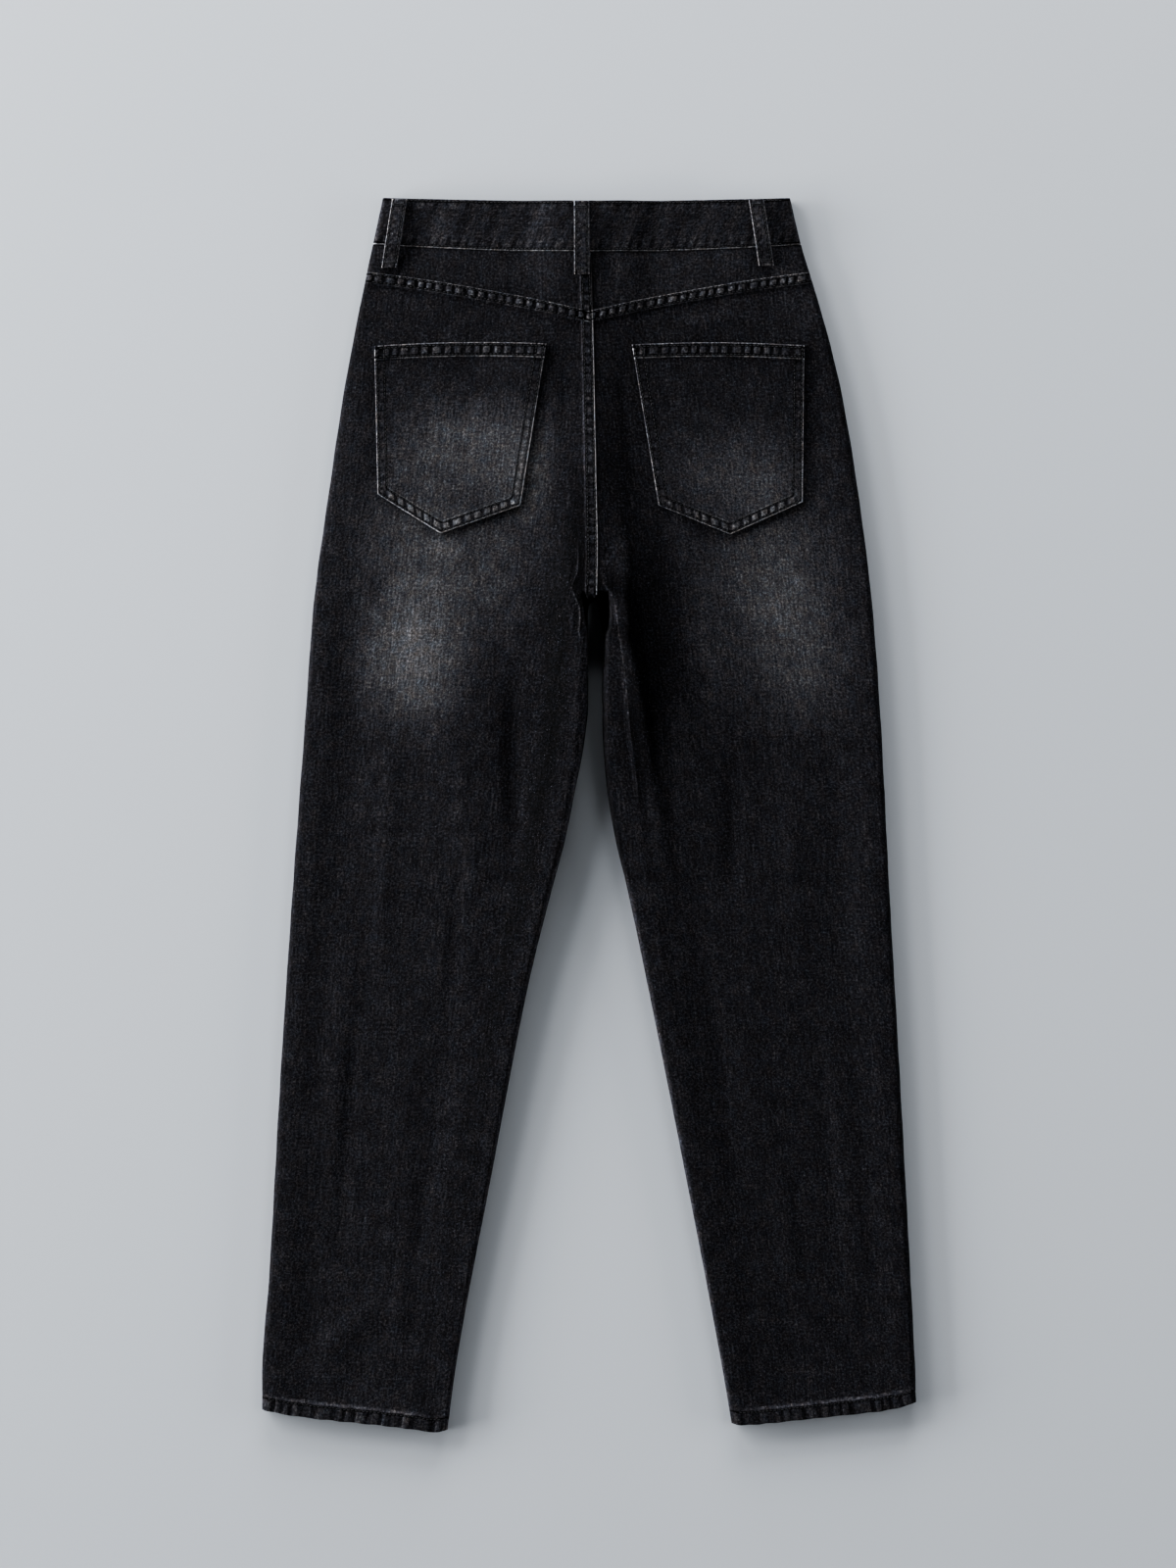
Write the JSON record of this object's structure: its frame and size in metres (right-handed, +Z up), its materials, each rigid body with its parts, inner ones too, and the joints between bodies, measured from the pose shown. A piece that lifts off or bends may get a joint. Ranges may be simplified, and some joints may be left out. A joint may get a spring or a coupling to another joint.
{
  "type": "mom jeans",
  "caption": "High-waisted tapered jeans in washed black denim, laid flat on their front with the back uppermost.",
  "frame": {"origin": "centre of the outline seen from above, on the surface that the jeans lie on", "axes": "+Z up from the surface, +Y from the hems to the waist, +X to the wearer's right"},
  "size_m": [0.5332, 1.0058, 0.0153],
  "materials": {
    "denim": "washed black cotton twill, matt",
    "button_metal": "dark antique metal, dull"
  },
  "bodies": {
    "root": {"back_leg_left": "denim", "back_leg_right": "denim", "back_yoke_left": "denim", "back_yoke_right": "denim", "back_pocket_left": "denim", "back_pocket_right": "denim", "waistband": "denim", "belt_loop_back_left": "denim", "belt_loop_back_centre": "denim", "belt_loop_back_right": "denim", "front_leg_left": "denim", "front_leg_right": "denim", "front_pocket_facing_left": "denim", "front_pocket_facing_right": "denim", "fly": "denim", "belt_loop_front_left": "denim", "belt_loop_front_right": "denim", "waistband_button": "button_metal"}
  },
  "joints": []
}
